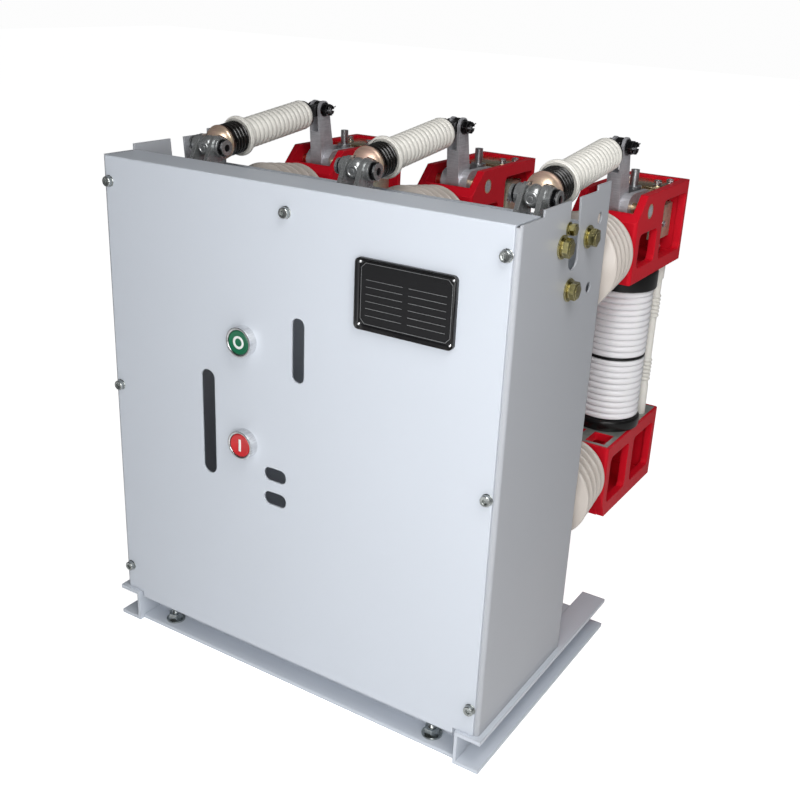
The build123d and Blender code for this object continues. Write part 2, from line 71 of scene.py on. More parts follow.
def set_camera():
    """The camera looks down on the right front corner, a little rolled, as the photograph does."""
    forward = Vector((-math.sin(CAMERA_YAW) * math.cos(CAMERA_PITCH),
                      math.cos(CAMERA_YAW) * math.cos(CAMERA_PITCH), -math.sin(CAMERA_PITCH)))
    level = Vector((math.cos(CAMERA_YAW), math.sin(CAMERA_YAW), 0))
    upward = level.cross(forward)
    right = math.cos(CAMERA_ROLL) * level + math.sin(CAMERA_ROLL) * upward
    up = math.cos(CAMERA_ROLL) * upward - math.sin(CAMERA_ROLL) * level
    bpy.ops.object.camera_add()
    camera = bpy.context.object
    camera.data.sensor_width = CAMERA_SENSOR
    camera.data.lens = CAMERA_LENS
    camera.data.clip_start = 0.05
    turned = Matrix((right, up, -forward)).transposed().to_4x4()
    camera.matrix_world = Matrix.Translation(CAMERA_PLACE) @ turned
    bpy.context.scene.camera = camera


def area_light(name, place, aim, size, watts):
    """A soft square light at place, turned towards aim."""
    bpy.ops.object.light_add(type="AREA", location=place)
    light = bpy.context.object
    light.name = name
    light.data.shape = "SQUARE"
    light.data.size = size
    light.data.energy = watts
    light.rotation_euler = (Vector(aim) - Vector(place)).to_track_quat("-Z", "Y").to_euler()


def set_surround():
    """A white backdrop for the camera; for the light, pale towards the floor and dark overhead."""
    world = bpy.data.worlds.new("studio")
    world.use_nodes = True
    tree = world.node_tree
    tree.nodes.clear()
    way = add(tree, "TexCoord").outputs["Generated"]
    height = add(tree, "SeparateXYZ", _0=way).outputs["Z"]
    strength = rescale(tree, height, -0.1, 0.5, SURROUND_LOW, SURROUND_HIGH)
    glow = add(tree, "Background", Color=(0.95, 0.97, 1.0, 1), Strength=strength).outputs[0]
    backdrop = add(tree, "Background", Color=(0.98, 0.98, 0.98, 1)).outputs[0]
    seen = add(tree, "LightPath").outputs["Is Camera Ray"]
    chosen = add(tree, "MixShader", _0=seen, _1=glow, _2=backdrop)
    tree.links.new(chosen.outputs[0], add(tree, "OutputWorld").inputs[0])
    bpy.context.scene.world = world


def set_studio():
    """A pale floor and soft lights, the strongest in front and a little to the right."""
    set_surround()
    area_light("front_light", (0.46, -1.08, 0.72), (0.02, 0, 0.40), 0.8, FRONT_WATTS)
    area_light("right_light", (1.35, -0.95, 0.9), (0.2, 0.2, 0.42), 0.6, RIGHT_WATTS)
    area_light("top_light", (0.78, -0.62, 1.72), (0.1, -0.05, 0.6), 0.8, TOP_WATTS)
    bpy.ops.mesh.primitive_plane_add(size=24)
    floor = bpy.context.object
    floor.name = "floor"
    paper, tree, shader = new_finish("studio_paper", Base_Color=(0.92, 0.92, 0.92, 1), Roughness=0.9,
                                     Emission_Color=(1, 1, 1, 1))
    seen = add(tree, "LightPath").outputs["Is Camera Ray"]
    glow = rescale(tree, seen, 0, 1, FLOOR_GLOW, FLOOR_GLOW_SEEN)
    tree.links.new(glow, shader.inputs["Emission Strength"])
    floor.data.materials.append(paper)
    bpy.context.scene.view_settings.view_transform = "Standard"


# Shader groups shared by the finishes


def new_group(name, inputs, outputs):
    """A node group with its named inputs, numbers or colours, and its named outputs, and nothing between."""
    tree = bpy.data.node_groups.new(name, "ShaderNodeTree")
    for label, value in inputs.items():
        kind = "NodeSocketColor" if isinstance(value, tuple) else "NodeSocketFloat"
        socket = tree.interface.new_socket(name=label, in_out="INPUT", socket_type=kind)
        socket.default_value = value
    for label, kind in outputs.items():
        tree.interface.new_socket(name=label, in_out="OUTPUT", socket_type=f"NodeSocket{kind}")
    return tree, tree.nodes.new("NodeGroupInput"), tree.nodes.new("NodeGroupOutput")


def add(tree, kind, settings=(), **sockets):
    """A node with its settings, and its sockets set to values or linked to other sockets."""
    node = tree.nodes.new(f"ShaderNode{kind}")
    for key, value in dict(settings).items():
        setattr(node, key, value)
    for key, value in sockets.items():
        place = int(key[1:]) if key[0] == "_" else key.replace("_", " ")
        if isinstance(value, bpy.types.NodeSocket):
            tree.links.new(value, node.inputs[place])
        else:
            node.inputs[place].default_value = value
    return node


def math_node(tree, operation, first, second):
    """The result of one operation on two values."""
    return add(tree, "Math", {"operation": operation}, _0=first, _1=second).outputs[0]


def rescale(tree, value, low, high, to_low=0.0, to_high=1.0):
    """A value stretched from one span to another, and kept inside it."""
    spans = {"From_Min": low, "From_Max": high, "To_Min": to_low, "To_Max": to_high}
    return add(tree, "MapRange", Value=value, **spans).outputs[0]


def blend_colours(tree, factor, first, second):
    """Two colours mixed by a factor; each is a value or a socket."""
    return add(tree, "Mix", {"data_type": "RGBA"}, _0=factor, _6=first, _7=second).outputs[2]


def surface_noise(tree, scale, detail, stretch=None):
    """Noise on object coordinates, in cells of about 1/scale metres."""
    place = add(tree, "TexCoord").outputs["Object"]
    if stretch:
        place = add(tree, "Mapping", Vector=place, Scale=stretch).outputs[0]
    return add(tree, "TexNoise", Vector=place, Scale=scale, Detail=detail).outputs["Fac"]


def make_grain():
    """Fine bump, uneven shade and softened edges: orange peel on paint, sand marks on castings."""
    inputs = {"Scale": 300.0, "Depth": 0.1, "Patches": 6.0, "Soften": 0.0008}
    tree, given, out = new_group("surface_grain", inputs, {"Shade": "Float", "Normal": "Vector"})
    fine = surface_noise(tree, given.outputs["Scale"], 2.0)
    broad = surface_noise(tree, given.outputs["Patches"], 4.0)
    soft = add(tree, "Bevel", {"samples": 4}, Radius=given.outputs["Soften"]).outputs[0]
    bump = add(tree, "Bump", Strength=given.outputs["Depth"], Distance=0.001, Height=fine, Normal=soft)
    tree.links.new(broad, out.inputs["Shade"])
    tree.links.new(bump.outputs[0], out.inputs["Normal"])
    return tree


def make_edges():
    """A mask along convex edges, where a coat rubs thin and where a painted highlight is laid, broken up by noise.
    """
    tree, given, out = new_group("rubbed_and_lit_edges", {"Reach": 0.002, "Break up": 60.0}, {"Mask": "Float"})
    soft = add(tree, "Bevel", {"samples": 4}, Radius=given.outputs["Reach"]).outputs[0]
    hard = add(tree, "NewGeometry").outputs["Normal"]
    alike = add(tree, "VectorMath", {"operation": "DOT_PRODUCT"}, _0=soft, _1=hard).outputs["Value"]
    edge = rescale(tree, alike, 0.995, 0.9)
    broken = rescale(tree, surface_noise(tree, given.outputs["Break up"], 5.0), 0.42, 0.6)
    tree.links.new(math_node(tree, "MULTIPLY", edge, broken), out.inputs["Mask"])
    return tree


def make_dust():
    """A mask of thin dust on what faces upwards."""
    tree, given, out = new_group("settled_dust", {"Amount": 0.3, "Scale": 25.0}, {"Mask": "Float"})
    up = add(tree, "SeparateXYZ", Vector=add(tree, "NewGeometry").outputs["Normal"]).outputs["Z"]
    facing = rescale(tree, up, 0.3, 1.0)
    patchy = rescale(tree, surface_noise(tree, given.outputs["Scale"], 6.0), 0.35, 0.75)
    mask = math_node(tree, "MULTIPLY", math_node(tree, "MULTIPLY", facing, patchy), given.outputs["Amount"])
    tree.links.new(mask, out.inputs["Mask"])
    return tree


def make_marks():
    """A mask of fine straight rub marks along one direction, as on drawn or rolled metal."""
    outputs = {"Mask": "Float", "Normal": "Vector"}
    tree, given, out = new_group("rub_marks", {"Scale": 60.0, "Sharpness": 0.2}, outputs)
    along = surface_noise(tree, given.outputs["Scale"], 6.0, (1.0, 1.0, 12.0))
    high = math_node(tree, "ADD", 0.45, given.outputs["Sharpness"])
    mask = rescale(tree, along, 0.45, high)
    bump = add(tree, "Bump", Strength=0.08, Distance=0.0005, Height=mask)
    tree.links.new(mask, out.inputs["Mask"])
    tree.links.new(bump.outputs[0], out.inputs["Normal"])
    return tree


def make_plating():
    """Cloudy patches of a plated coat, with the two colours it drifts between."""
    inputs = {"Scale": 40.0, "First": (0.7, 0.6, 0.3, 1), "Second": (0.6, 0.4, 0.3, 1)}
    tree, given, out = new_group("plating_clouds", inputs, {"Color": "Color", "Clouds": "Float"})
    clouds = rescale(tree, surface_noise(tree, given.outputs["Scale"], 5.0), 0.38, 0.62)
    colour = blend_colours(tree, clouds, given.outputs["First"], given.outputs["Second"])
    tree.links.new(colour, out.inputs["Color"])
    tree.links.new(clouds, out.inputs["Clouds"])
    return tree


GRAIN, EDGES, DUST, MARKS, PLATING = make_grain(), make_edges(), make_dust(), make_marks(), make_plating()


def use(tree, group, **sockets):
    """One of the shared groups inside a material."""
    node = tree.nodes.new("ShaderNodeGroup")
    node.node_tree = group
    for key, value in sockets.items():
        node.inputs[key].default_value = value
    return node


def new_finish(name, **sockets):
    """A material with one Principled shader whose plain sockets are set here."""
    material = bpy.data.materials.new(name)
    material.use_nodes = True
    shader = material.node_tree.nodes["Principled BSDF"]
    for key, value in sockets.items():
        shader.inputs[key.replace("_", " ")].default_value = value
    return material, material.node_tree, shader


def tint(colour, factor=1.0):
    """A colour made lighter or darker, with its alpha."""
    return tuple(c * factor for c in colour) + (1,)


SETTLED_DUST = (0.55, 0.53, 0.5)


def coated(name, colour, roughness, grain=300.0, depth=0.1, variation=0.08, dust=0.2, edge_wear_and_highlight=None, coat=0.0,
           soften=0.0008, specular=0.5):
    """Paint, plastic or glaze: grain, uneven shade, settled dust and, where given, a lighter edge colour that is
    partly rubbed wear and partly painted highlight.
    """
    material, tree, shader = new_finish(name, Coat_Weight=coat, Coat_Roughness=0.12,
                                        Specular_IOR_Level=specular)
    skin = use(tree, GRAIN, Scale=grain, Depth=depth, Soften=soften)
    shade = skin.outputs["Shade"]
    base = blend_colours(tree, shade, tint(colour, 1 - variation), tint(colour, 1 + variation))
    if edge_wear_and_highlight:
        # Lighter colour on convex edges: partly rubbed wear, partly a painted highlight where edges catch the
        # light.
        edge = use(tree, EDGES, Reach=0.0015)
        base = blend_colours(tree, edge.outputs["Mask"], base, tint(edge_wear_and_highlight))
    film = use(tree, DUST, Amount=dust)
    base = blend_colours(tree, film.outputs["Mask"], base, tint(SETTLED_DUST))
    tree.links.new(base, shader.inputs["Base Color"])
    rough = rescale(tree, shade, 0.3, 0.7, roughness * 0.88, roughness * 1.12)
    tree.links.new(rough, shader.inputs["Roughness"])
    tree.links.new(skin.outputs["Normal"], shader.inputs["Normal"])
    return material


def plated(name, first, second, roughness, scale=40.0, metallic=1.0, edge_wear_and_highlight=None):
    """Plated or bare metal: cloudy colour, rub marks and brighter edges, partly rubbed wear and partly painted
    highlight.
    """
    material, tree, shader = new_finish(name, Metallic=metallic)
    clouds = use(tree, PLATING, Scale=scale, First=tint(first), Second=tint(second))
    marks = use(tree, MARKS)
    rubbed = math_node(tree, "MULTIPLY", marks.outputs["Mask"], 0.35)
    base = blend_colours(tree, rubbed, clouds.outputs["Color"], tint(first, 1.35))
    if edge_wear_and_highlight:
        # Lighter colour on convex edges: partly rubbed wear, partly a painted highlight where edges catch the
        # light.
        edge = use(tree, EDGES, Reach=0.0012)
        base = blend_colours(tree, edge.outputs["Mask"], base, tint(edge_wear_and_highlight))
    tree.links.new(base, shader.inputs["Base Color"])
    rough = rescale(tree, clouds.outputs["Clouds"], 0.0, 1.0, roughness * 0.75, roughness * 1.25)
    tree.links.new(rough, shader.inputs["Roughness"])
    tree.links.new(marks.outputs["Normal"], shader.inputs["Normal"])
    return material


COATS = {
    "housing_paint": dict(colour=(0.60, 0.64, 0.70), roughness=0.34, grain=420, depth=0.05, variation=0.015,
                          dust=0.08, soften=0.002),
    # The side panels' paint is the housing's paint darkened: painted shade, as they face away from the front lamp.
    "side_paint_painted_shade": dict(colour=(0.43, 0.445, 0.475), roughness=0.36, grain=420, depth=0.05, variation=0.015,
                       dust=0.06, soften=0.002),
    # red_casting's edge colour is a brighter red: a painted highlight on its edges, not wear.
    "red_casting": dict(colour=(0.64, 0.007, 0.020), roughness=0.45, grain=260, depth=0.16, variation=0.07,
                        dust=0.0, edge_wear_and_highlight=(0.95, 0.03, 0.05), soften=0.0025, specular=0.12),
    "epoxy": dict(colour=(0.60, 0.545, 0.495), roughness=0.3, grain=350, depth=0.04, variation=0.05,
                  dust=0.2, coat=0.3),
    "ceramic": dict(colour=(0.95, 0.94, 0.96), roughness=0.22, grain=200, depth=0.02, variation=0.02,
                    dust=0.1, coat=0.5),
    "rod_epoxy": dict(colour=(0.85, 0.83, 0.77), roughness=0.36, grain=500, depth=0.06, variation=0.04,
                      dust=0.25),
    "black_ring": dict(colour=(0.006, 0.006, 0.006), roughness=0.3, grain=400, depth=0.08, variation=0.2,
                       dust=0.02, specular=0.35),
    "black_steel": dict(colour=(0.010, 0.009, 0.008), roughness=0.16, grain=500, depth=0.06, variation=0.3,
                        dust=0.02, coat=0.8),
    "button_green": dict(colour=(0.0, 0.13, 0.055), roughness=0.3, grain=600, depth=0.05, variation=0.06,
                         dust=0.05, coat=0.4),
    "button_red": dict(colour=(0.55, 0.012, 0.016), roughness=0.3, grain=600, depth=0.05, variation=0.06,
                       dust=0.05, coat=0.4),
    "plate_black": dict(colour=(0.008, 0.008, 0.009), roughness=0.28, grain=500, depth=0.04, variation=0.2,
                        dust=0.05),
    "seat_brown": dict(colour=(0.045, 0.022, 0.014), roughness=0.22, grain=500, depth=0.06, variation=0.25,
                       dust=0.05, coat=0.6),
    "mark_white": dict(colour=(0.8, 0.82, 0.8), roughness=0.5, grain=600, depth=0.05, variation=0.04,
                       dust=0.05),
}
PLATINGS = {
    # The light edge colours given to the platings are partly rubbed wear and partly painted highlight along their
    # edges.
    "zinc_steel": dict(first=(0.50, 0.51, 0.52), second=(0.34, 0.35, 0.36), roughness=0.36, scale=70,
                       edge_wear_and_highlight=(0.85, 0.85, 0.85)),
    "lever_zinc": dict(first=(0.62, 0.62, 0.65), second=(0.50, 0.50, 0.53), roughness=0.42, scale=60,
                       metallic=0.55, edge_wear_and_highlight=(0.85, 0.85, 0.86)),
    "arm_zinc": dict(first=(0.44, 0.45, 0.45), second=(0.30, 0.31, 0.31), roughness=0.28, scale=60,
                     metallic=0.7, edge_wear_and_highlight=(0.85, 0.85, 0.85)),
    "bolt_zinc": dict(first=(0.40, 0.36, 0.16), second=(0.26, 0.22, 0.10), roughness=0.26, scale=60,
                      edge_wear_and_highlight=(0.85, 0.8, 0.5)),
    "screw_zinc": dict(first=(0.42, 0.44, 0.43), second=(0.30, 0.32, 0.31), roughness=0.24, scale=110,
                       edge_wear_and_highlight=(0.85, 0.86, 0.85)),
    "dark_steel": dict(first=(0.10, 0.10, 0.10), second=(0.05, 0.05, 0.05), roughness=0.34, scale=60,
                       edge_wear_and_highlight=(0.62, 0.62, 0.6)),
    "yellow_zinc": dict(first=(0.72, 0.60, 0.32), second=(0.62, 0.42, 0.30), roughness=0.27, scale=45,
                        edge_wear_and_highlight=(0.95, 0.85, 0.6)),
    "chrome_ring": dict(first=(0.80, 0.80, 0.80), second=(0.66, 0.66, 0.67), roughness=0.14, scale=90),
    "bright_zinc": dict(first=(0.74, 0.75, 0.76), second=(0.60, 0.62, 0.63), roughness=0.24, scale=120),
    "dome_zinc": dict(first=(0.88, 0.70, 0.50), second=(0.86, 0.58, 0.48), roughness=0.4, scale=22,
                      metallic=0.8, edge_wear_and_highlight=(0.98, 0.92, 0.8)),
    "nut_black": dict(first=(0.045, 0.045, 0.048), second=(0.02, 0.02, 0.022), roughness=0.3, scale=90,
                      edge_wear_and_highlight=(0.4, 0.4, 0.4)),
    "machined": dict(first=(0.40, 0.43, 0.40), second=(0.28, 0.31, 0.29), roughness=0.4, scale=50,
                     metallic=0.6),
    "strap_copper": dict(first=(0.50, 0.50, 0.38), second=(0.34, 0.35, 0.27), roughness=0.42, scale=90,
                         metallic=0.3, edge_wear_and_highlight=(0.9, 0.84, 0.7)),
}
FINISHES = {name: coated(name, **values) for name, values in COATS.items()}
FINISHES.update({name: plated(name, **values) for name, values in PLATINGS.items()})
# The side panels get the darker copy of the housing's paint, which is painted shade.
NODE_FINISH = {"main_shaft": "arm_zinc", "left_side_panel": "side_paint_painted_shade", "right_side_panel": "side_paint_painted_shade"}
NODE_FINISH.update({f"bell_crank_{pole}": "lever_zinc" for pole in POLES})
dict.fromkeys(("bolt_zinc", "dome_zinc", "strap_copper"), "yellow_zinc")
dict.fromkeys(("lever_zinc", "arm_zinc", "screw_zinc", "dark_steel", "bright_zinc",
                              "nut_black", "machined"), "zinc_steel")


def dress_nodes():
    """Every piece of the frame gets the finish of its material slot, or the finish set for it in NODE_FINISH; the
    side panels get a darker copy of the housing's paint, as painted shade.
    """
    slots = {part["node"]: part["material_slot"] for part in frame["record"]["subparts"]}
    for name, piece in nodes.items():
        piece.data.materials.clear()
        piece.data.materials.append(FINISHES[NODE_FINISH.get(name, slots[name])])


# Measures from the frame


def pin(joint):
    """The place of a hinge."""
    return next(Vector(j["pos_m"]) for j in frame["joints"] if j["name"] == joint)


ARM_PIN = pin("push_rod_pivot_middle")
CRANK_PIN = pin("bell_crank_turn_middle")
SHAFT = pin("main_shaft_turn")
PITCH = pin("bell_crank_turn_right").x
COVER_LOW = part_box("front_cover")[0]
PANEL_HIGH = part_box("right_side_panel")[1]
BODY_LOW, BODY_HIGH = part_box("interrupter_middle")
UPPER_LOW, UPPER_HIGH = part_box("upper_bracket_middle")
LOWER_LOW, LOWER_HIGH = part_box("lower_bracket_middle")
STEM_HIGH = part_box("moving_stem_middle")[1]
POLE_Y = (BODY_LOW.y + BODY_HIGH.y) / 2
LEVER, CRANK_ARM = Vector((0, -0.0156, 0.083)), Vector((0, 0.0553, 0.0055))
CRANK_EYE = CRANK_PIN + LEVER
STEM_PIN = CRANK_PIN + CRANK_ARM
ROD_SPAN = (CRANK_EYE - ARM_PIN).length / MM
ROD_TILT = math.atan2(CRANK_EYE.z - ARM_PIN.z, CRANK_EYE.y - ARM_PIN.y)
ARM_LEAN = math.atan2(ARM_PIN.y - SHAFT.y, ARM_PIN.z - SHAFT.z)
WALL = 0.011
POLE_SHIFT = {"left": -PITCH, "middle": 0.0, "right": PITCH}

FRONTWARDS = Matrix.Rotation(math.radians(90), 4, "X")
RIGHTWARDS = Matrix.Rotation(math.radians(90), 4, "Y")
SIDEWAYS = {1: RIGHTWARDS, -1: Matrix.Rotation(math.radians(-90), 4, "Y")}
BACKWARDS = Matrix.Rotation(math.radians(-90), 4, "X")
ROD_FRAME = Matrix.Translation(ARM_PIN) @ Matrix.Rotation(ROD_TILT - math.radians(90), 4, "X")


def at(x, y, z):
    """A move to a place in metres."""
    return Matrix.Translation((x, y, z))


# Modelling steps


def only(*pieces):
    """Selects these pieces and nothing else."""
    bpy.ops.object.select_all(action="DESELECT")
    for piece in pieces:
        piece.select_set(True)
    bpy.context.view_layer.objects.active = pieces[0]


def settle(piece, place=None, angle=32):
    """Puts the piece's place into its mesh, turns its faces outwards and smooths its round faces."""
    if place is not None:
        piece.matrix_world = place @ piece.matrix_world
    only(piece)
    bpy.ops.object.transform_apply(location=True, rotation=True, scale=True)
    bpy.ops.object.mode_set(mode="EDIT")
    bpy.ops.mesh.select_all(action="SELECT")
    bpy.ops.mesh.remove_doubles(threshold=1e-6)
    bpy.ops.mesh.normals_make_consistent(inside=False)
    bpy.ops.object.mode_set(mode="OBJECT")
    bpy.ops.object.shade_smooth_by_angle(angle=math.radians(angle))
    return piece


def turned(name, outline, sides=64, ring=False):
    """A turned piece about +Z: a circle is pulled along its outline of (radius, height) in millimetres."""
    radius, height = outline[0]
    bpy.ops.object.select_all(action="DESELECT")
    bpy.ops.mesh.primitive_circle_add(vertices=sides, radius=radius * MM, location=(0, 0, height * MM))
    piece = bpy.context.object
    piece.name = name
    bpy.ops.object.transform_apply(location=True, rotation=False, scale=False)
    bpy.ops.object.mode_set(mode="EDIT")
    bpy.ops.mesh.select_all(action="SELECT")
    for next_radius, next_height in outline[1:]:
        rise = (next_height - height) * MM
        bpy.ops.mesh.extrude_region_move(TRANSFORM_OT_translate={"value": (0, 0, rise)})
        share = next_radius / radius
        bpy.ops.transform.resize(value=(share, share, 1), center_override=(0, 0, 0))
        radius, height = next_radius, next_height
    if not ring:
        bpy.ops.mesh.select_all(action="SELECT")
        bpy.ops.mesh.fill_holes(sides=0)
    bpy.ops.object.mode_set(mode="OBJECT")
    return settle(piece)


def arc(centre_radius, centre_height, radius, start, end, steps=6):
    """Outline points round part of a circle; angles in degrees from outwards to upwards."""
    points = []
    for n in range(steps + 1):
        angle = math.radians(start + (end - start) * n / steps)
        points.append((centre_radius + radius * math.cos(angle), centre_height + radius * math.sin(angle)))
    return points


def slab(name, low, high, edge=0.0, steps=2):
    """A block between two corners in metres, with its edges rounded."""
    centre = [(a + b) / 2 for a, b in zip(low, high)]
    bpy.ops.object.select_all(action="DESELECT")
    bpy.ops.mesh.primitive_cube_add(size=1, location=centre)
    piece = bpy.context.object
    piece.name = name
    piece.scale = [b - a for a, b in zip(low, high)]
    bpy.ops.object.transform_apply(location=True, rotation=False, scale=True)
    bpy.ops.object.mode_set(mode="EDIT")
    bpy.ops.mesh.select_all(action="SELECT")
    if edge:
        bpy.ops.mesh.bevel(offset=edge, segments=steps, affect="EDGES")
    bpy.ops.object.mode_set(mode="OBJECT")
    return settle(piece)


def copied(piece, name, place):
    """A copy with a mesh of its own, moved by place."""
    only(piece)
    bpy.ops.object.duplicate(linked=False)
    copy = bpy.context.object
    copy.name = name
    return settle(copy, place)


def joined(name, pieces):
    """Several pieces on one body made one."""
    only(*pieces)
    bpy.ops.object.join()
    piece = bpy.context.object
    piece.name = name
    return piece


def set_out(name, pattern, places):
    """One piece made of copies of a pattern, one at each place."""
    copies = [copied(pattern, f"{name}_{n}", place) for n, place in enumerate(places)]
    bpy.data.objects.remove(pattern)
    return joined(name, copies)


def fit(piece, finish, body="frame", replaced=()):
    """Gives a finished piece its finish and its body, and hides the nodes that it stands for."""
    piece.data.materials.clear()
    piece.data.materials.append(FINISHES[finish])
    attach(piece, body)
    if replaced:
        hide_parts(*replaced)
    return piece


def on_each_pole(piece, finish, body=None, replaced=()):
    """A piece modelled on the middle pole, with a copy on each other pole; {} stands for the pole's name."""
    base_name = piece.name
    for pole in ("left", "right", "middle"):
        here = piece if pole == "middle" else copied(piece, "copy", at(POLE_SHIFT[pole], 0, 0))
        here.name = f"{base_name}_{pole}"
        fit(here, finish, body.format(pole) if body else "frame", [node.format(pole) for node in replaced])


def over_all_poles(name, piece):
    """A piece modelled on the middle pole, made one with its copies on the other two."""
    copies = [copied(piece, "copy", at(POLE_SHIFT[pole], 0, 0)) for pole in ("left", "right")]
    return joined(name, [piece] + copies)


# Fasteners, all about +Z with their seat at height 0


def hexagon(name, across, low, high, chamfer=1.0):
    """A six-sided head or nut with a turned chamfer on its outer end."""
    corner = across / 2 / math.cos(math.radians(30))
    outline = [(corner - chamfer * 0.4, low), (corner, low + chamfer * 0.4), (corner, high - chamfer * 0.6),
               (corner - chamfer * 1.2, high)]
    return turned(name, outline, sides=6)


def thread(name, radius, low, high, pitch=1.6):
    """A threaded end, as ridges with a chamfered tip."""
    outline = [(radius * 0.88, low)]
    height = low
    while height + pitch < high - 1:
        outline += [(radius, height + pitch * 0.5), (radius * 0.88, height + pitch)]
        height += pitch
    outline += [(radius * 0.95, high - 1), (radius * 0.7, high)]
    return turned(name, outline, sides=28)


def washer(name, radius, thickness, hole):
    """A flat washer with softened rims."""
    outline = [(hole, 0), (radius - 0.3, 0), (radius, 0.3), (radius, thickness - 0.4),
               (radius - 0.5, thickness), (hole + 0.2, thickness), (hole, 0)]
    return turned(name, outline, sides=48, ring=True)


def hex_bolt(name, across, head, washer_radius, washer_thickness):
    """A hexagon bolt's head on a spring washer and a flat washer."""
    shank = across * 0.33
    flat = washer(f"{name}_flat", washer_radius, washer_thickness, shank)
    split_outline = [(across * 0.5 - 0.4, washer_thickness), (across * 0.5, washer_thickness + 0.5),
                     (across * 0.5, washer_thickness + 1.8), (across * 0.5 - 0.4, washer_thickness + 2.2)]
    split = turned(f"{name}_split", split_outline, sides=40)
    low = washer_thickness + 2.2
    top = hexagon(f"{name}_head", across, low, low + head)
    dish = turned(f"{name}_dish", [(across * 0.36, low + head - 0.4), (across * 0.36, low + head + 0.25),
                                   (across * 0.2, low + head + 0.35)], sides=32)
    return joined(name, [flat, split, top, dish])


def nut_on_stud(name, across, nut, washer_radius, washer_thickness, stud_radius, stud_high):
    """A nut with a flat washer on a threaded end."""
    flat = washer(f"{name}_flat", washer_radius, washer_thickness, stud_radius)
    body = hexagon(f"{name}_nut", across, washer_thickness, washer_thickness + nut)
    stud = thread(f"{name}_stud", stud_radius, washer_thickness, stud_high)
    return joined(name, [flat, body, stud])


# Housing


def cover_screws():
    """Bright cap screws that hold the front cover."""
    outline = [(6.4, 1.2), (6.8, 1.8), (6.8, 6.2), (6.2, 7.0), (4.2, 7.0), (3.4, 6.6), (3.0, 4.6), (0.5, 4.3)]
    head = turned("screw_head", outline, sides=40)
    seat = washer("screw_seat", 7.6, 1.2, 3.2)
    screw = joined("cover_screw", [head, seat])
    side_x, top_z = 0.292, 0.667
    places = [(0.0, top_z + 0.002)] + [(s * side_x, z) for s in (-1, 1) for z in (0.089, 0.3815, top_z)]
    moves = [at(x, COVER_LOW.y, z) @ FRONTWARDS for x, z in places]
    fit(set_out("cover_screws", screw, moves), "screw_zinc")


def side_bolts():
    """Yellow hexagon bolts through the side panels into the bearings, and a small one at the slot's edge."""
    places = [(-0.068, 0.658), (0.006, 0.657), (-0.037, 0.6015)]
    bolt = hex_bolt("side_bolt", across=20, head=7.5, washer_radius=14, washer_thickness=2.2)
    moves = []
    for side in (-1, 1):
        for n, (y, z) in enumerate(places):
            twist = Matrix.Rotation(math.radians(17 + 23 * n), 4, "Z")
            moves.append(at(side * PANEL_HIGH.x, y, z) @ SIDEWAYS[side] @ twist)
    fit(set_out("side_bolts", bolt, moves), "bolt_zinc")
    small = hex_bolt("slot_bolt", across=13, head=6, washer_radius=8, washer_thickness=1.5)
    slot_y, slot_z = -0.054, 0.6765
    moves = [at(side * PANEL_HIGH.x, slot_y, slot_z) @ SIDEWAYS[side] for side in (-1, 1)]
    fit(set_out("slot_bolts", small, moves), "bolt_zinc")


def floor_bolts():
    """Nuts on the four fixing studs of the base."""
    flange, stud_x, stud_y = 0.006, 0.228, 0.156
    nut = nut_on_stud("floor_bolt", across=19, nut=10, washer_radius=14, washer_thickness=2.5, stud_radius=6,
                      stud_high=19)
    moves = []
    for sx in (-1, 1):
        for sy in (-1, 1):
            twist = Matrix.Rotation(math.radians(15 + 20 * sx + 9 * sy), 4, "Z")
            moves.append(at(sx * stud_x, sy * stud_y, flange) @ twist)
    fit(set_out("floor_bolts", nut, moves), "screw_zinc")


def nameplate():
    """A black rating plate with a thin border and empty rules, on four dome rivets."""
    x0, x1, z0, z1 = 0.104, 0.237, 0.550, 0.635
    y = COVER_LOW.y
    plate = slab("plate", (x0, y - 0.0012, z0), (x1, y, z1))
    only(plate)
    corners = plate.data.vertices
    for edge in plate.data.edges:
        first, second = edge.vertices
        edge.select = abs(corners[first].co.y - corners[second].co.y) > 1e-4
    bpy.ops.object.mode_set(mode="EDIT")
    bpy.ops.mesh.select_mode(type="EDGE")
    bpy.ops.mesh.bevel(offset=0.006, segments=6, affect="EDGES")
    bpy.ops.object.mode_set(mode="OBJECT")
    fit(settle(plate), "plate_black")
    plate.name = "rating_plate"
    inset, corner, line = 0.006, 0.006, 0.0006
    bpy.ops.object.select_all(action="DESELECT")
    bpy.ops.mesh.primitive_plane_add(size=1, rotation=(math.radians(90), 0, 0),
                                     location=((x0 + x1) / 2, y - 0.0013, (z0 + z1) / 2))
    border = bpy.context.object
    border.scale = (x1 - x0 - 2 * inset, z1 - z0 - 2 * inset, 1)
    bpy.ops.object.transform_apply(location=True, rotation=True, scale=True)
    bpy.ops.object.mode_set(mode="EDIT")
    bpy.ops.mesh.select_all(action="SELECT")
    bpy.ops.mesh.bevel(offset=corner, segments=1, affect="VERTICES")
    bpy.ops.mesh.inset(thickness=line, depth=0)
    bpy.ops.mesh.delete(type="FACE")
    bpy.ops.mesh.select_all(action="SELECT")
    bpy.ops.mesh.extrude_region_move(TRANSFORM_OT_translate={"value": (0, -0.0002, 0)})
    bpy.ops.object.mode_set(mode="OBJECT")
    settle(border)
    rules = [border]
    rows, left, middle, right = 6, x0 + 0.013, (x0 + x1) / 2, x1 - 0.013
    for n in range(rows):
        z = z1 - 0.026 - n * 0.0085
        for start, end in ((left, middle - 0.004), (middle + 0.004, right)):
            rules.append(slab("rule", (start, y - 0.0015, z), (end, y - 0.0012, z + line)))
    fit(joined("rating_plate_lines", rules), "bright_zinc")
    dome = turned("rivet", [(2.6, 0), (2.6, 0.4)] + arc(0, 0.4, 2.6, 5, 85, 6), sides=24)
    corners = [(x, z) for x in (x0 + 0.005, x1 - 0.005) for z in (z0 + 0.005, z1 - 0.005)]
    moves = [at(x, y - 0.0012, z) @ FRONTWARDS for x, z in corners]
    fit(set_out("rating_plate_rivets", dome, moves), "chrome_ring")


